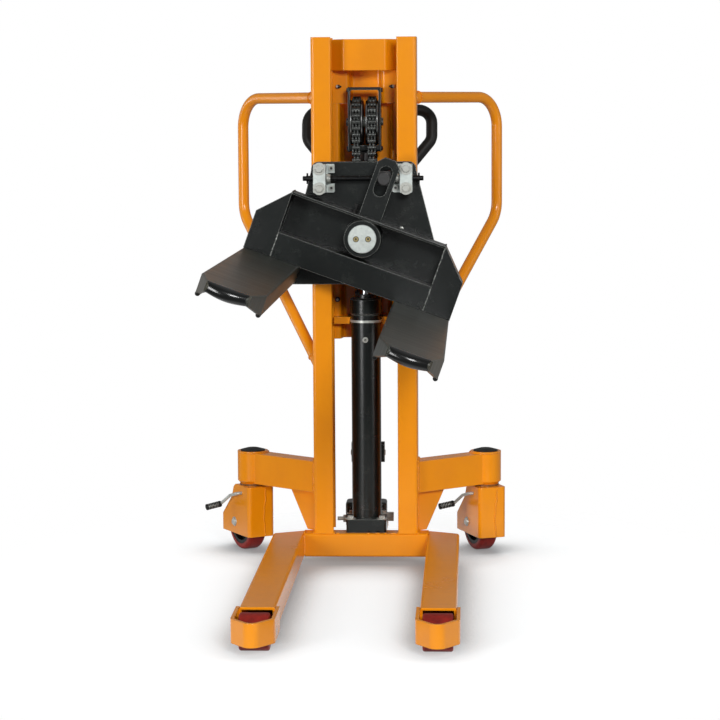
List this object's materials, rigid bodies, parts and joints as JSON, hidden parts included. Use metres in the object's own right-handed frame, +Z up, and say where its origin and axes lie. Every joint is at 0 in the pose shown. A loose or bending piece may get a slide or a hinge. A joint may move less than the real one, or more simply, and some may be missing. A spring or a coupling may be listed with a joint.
{
  "type": "tilting pallet lifter",
  "caption": "Manual hydraulic pallet lifter with an orange channel mast, straddle legs, chain lift and a fork carriage that tilts sideways by a screw and slotted lever.",
  "frame": {"origin": "on the floor, below the middle of the mast's front face", "axes": "+X to the right seen from the fork side, +Y from the forks to the rear, +Z up"},
  "size_m": [0.7896, 1.4714, 1.334],
  "materials": {
    "orange_paint": "satin",
    "black_paint": "satin",
    "fork_coating": "satin",
    "galvanised_steel": "satin",
    "zinc_plate": "gloss",
    "chrome": "polished",
    "dark_steel": "satin",
    "chain_steel": "satin",
    "red_polyurethane": "satin",
    "black_plastic": "matte"
  },
  "bodies": {
    "chassis": {"mast_upright_left": "orange_paint", "mast_upright_right": "orange_paint", "top_cross_plate": "orange_paint", "upper_back_panel": "orange_paint", "lower_back_panel": "orange_paint", "frame_screws": "dark_steel", "cylinder_saddle": "orange_paint", "base_crossbar": "orange_paint", "leg_left": "orange_paint", "leg_right": "orange_paint", "nose_guards": "orange_paint", "front_axles": "zinc_plate", "outrigger_left": "orange_paint", "outrigger_right": "orange_paint", "swivel_caps": "black_plastic", "push_handle_left": "orange_paint", "push_handle_right": "orange_paint", "cylinder_base": "black_paint", "cylinder_tube": "black_paint", "cylinder_gland": "black_paint", "cylinder_fittings": "zinc_plate", "pump_body": "black_paint", "pump_fittings": "zinc_plate", "fixed_chains": "chain_steel"},
    "ram": {"piston_rod": "chrome", "sheave_head": "black_paint", "lift_chains": "chain_steel"},
    "sheave_left": {"chain_sheave_left": "dark_steel"},
    "sheave_right": {"chain_sheave_right": "dark_steel"},
    "carriage": {"carriage_plate": "black_paint", "carriage_frame": "black_paint", "pivot_cap": "galvanised_steel", "spindle_bearings": "galvanised_steel", "carriage_bolts": "zinc_plate"},
    "lower_rollers": {"lower_guide_rollers": "dark_steel"},
    "upper_rollers": {"upper_guide_rollers": "dark_steel"},
    "spindle": {"tilt_spindle": "dark_steel"},
    "nut": {"tilt_nut": "dark_steel"},
    "tilt_frame": {"tilt_back_panel": "black_paint", "tilt_beams": "black_paint", "end_box_left": "black_paint", "end_box_right": "black_paint", "pivot_hub": "black_paint", "tilt_lever": "black_paint", "fork_left": "fork_coating", "fork_right": "fork_coating"},
    "front_roller_left": {"front_roller_left": "red_polyurethane"},
    "front_roller_right": {"front_roller_right": "red_polyurethane"},
    "caster_left": {"caster_housing_left": "orange_paint", "caster_axle_left": "zinc_plate"},
    "caster_right": {"caster_housing_right": "orange_paint", "caster_axle_right": "zinc_plate"},
    "wheel_left": {"caster_hub_left": "black_plastic", "caster_tyre_left": "red_polyurethane"},
    "wheel_right": {"caster_hub_right": "black_plastic", "caster_tyre_right": "red_polyurethane"},
    "brake_left": {"brake_lever_left": "zinc_plate"},
    "brake_right": {"brake_lever_right": "zinc_plate"},
    "tiller": {"tiller": "black_paint"},
    "plunger": {"pump_plunger": "chrome"}
  },
  "joints": [
    {"name": "lift", "type": "slide", "parent": "chassis", "child": "carriage", "axis": [0, 0, 1], "range_m": [-0.485, 0.06]},
    {"name": "ram_lift", "type": "slide", "parent": "chassis", "child": "ram", "axis": [0, 0, 1], "range_m": [-0.243, 0.031], "deforming": ["lift_chains"]},
    {"name": "sheave_left_turn", "type": "hinge", "parent": "ram", "child": "sheave_left", "pos_m": [-0.0195, 0.065, 1.123], "axis": [1, 0, 0], "range_deg": [-31, 241]},
    {"name": "sheave_right_turn", "type": "hinge", "parent": "ram", "child": "sheave_right", "pos_m": [0.0195, 0.065, 1.123], "axis": [1, 0, 0], "range_deg": [-31, 241]},
    {"name": "lower_rollers_turn", "type": "hinge", "parent": "carriage", "child": "lower_rollers", "pos_m": [0, 0.05, 0.792], "axis": [1, 0, 0], "range_deg": [-85, 680]},
    {"name": "upper_rollers_turn", "type": "hinge", "parent": "carriage", "child": "upper_rollers", "pos_m": [0, 0.05, 0.936], "axis": [1, 0, 0], "range_deg": [-680, 85]},
    {"name": "tilt", "type": "hinge", "parent": "carriage", "child": "tilt_frame", "pos_m": [0, -0.068, 0.8375], "axis": [0, 1, 0], "range_deg": [-39.74, 0]},
    {"name": "nut_travel", "type": "slide", "parent": "carriage", "child": "nut", "axis": [1, 0, 0], "range_m": [-0.1075, 0.001]},
    {"name": "spindle_turn", "type": "hinge", "parent": "carriage", "child": "spindle", "pos_m": [0, -0.046, 0.9845], "axis": [1, 0, 0], "range_deg": [-40, 9600]},
    {"name": "tiller_stroke", "type": "hinge", "parent": "chassis", "child": "tiller", "pos_m": [0, 0.152, 0.268], "axis": [-1, 0, 0], "range_deg": [-3, 35]},
    {"name": "plunger_stroke", "type": "slide", "parent": "chassis", "child": "plunger", "axis": [0, 0, -1], "range_m": [-0.002, 0.018]},
    {"name": "caster_left_swivel", "type": "hinge", "parent": "chassis", "child": "caster_left", "pos_m": [-0.305, 0.195, 0.224], "axis": [0, 0, 1], "continuous": true},
    {"name": "wheel_left_roll", "type": "hinge", "parent": "caster_left", "child": "wheel_left", "pos_m": [-0.32457, 0.22757, 0.075], "axis": [-0.8572, -0.515, 0], "continuous": true},
    {"name": "brake_left_press", "type": "hinge", "parent": "caster_left", "child": "brake_left", "pos_m": [-0.30191, 0.18986, 0.157], "axis": [-0.8572, -0.515, 0], "range_deg": [-10, 16]},
    {"name": "front_roller_left_roll", "type": "hinge", "parent": "chassis", "child": "front_roller_left", "pos_m": [-0.197, -0.933, 0.041], "axis": [1, 0, 0], "continuous": true},
    {"name": "caster_right_swivel", "type": "hinge", "parent": "chassis", "child": "caster_right", "pos_m": [0.305, 0.195, 0.224], "axis": [0, 0, 1], "continuous": true},
    {"name": "wheel_right_roll", "type": "hinge", "parent": "caster_right", "child": "wheel_right", "pos_m": [0.29107, 0.23036, 0.075], "axis": [-0.9304, -0.3665, 0], "continuous": true},
    {"name": "brake_right_press", "type": "hinge", "parent": "caster_right", "child": "brake_right", "pos_m": [0.3072, 0.18942, 0.157], "axis": [-0.9304, -0.3665, 0], "range_deg": [-10, 16]},
    {"name": "front_roller_right_roll", "type": "hinge", "parent": "chassis", "child": "front_roller_right", "pos_m": [0.197, -0.933, 0.041], "axis": [1, 0, 0], "continuous": true}
  ],
  "couplings": [
    {"joint": "ram_lift", "follows": "lift", "ratio": 0.5},
    {"joint": "sheave_left_turn", "follows": "lift", "rad_per_m": -8.6162},
    {"joint": "sheave_right_turn", "follows": "lift", "rad_per_m": -8.6162},
    {"joint": "lower_rollers_turn", "follows": "lift", "rad_per_m": -24.39},
    {"joint": "upper_rollers_turn", "follows": "lift", "rad_per_m": 24.39},
    {"joint": "nut_travel", "follows": "tilt", "m_per_rad": 0.1532},
    {"joint": "spindle_turn", "follows": "tilt", "ratio": -240.65},
    {"joint": "plunger_stroke", "follows": "tiller_stroke", "m_per_rad": 0.0285}
  ]
}
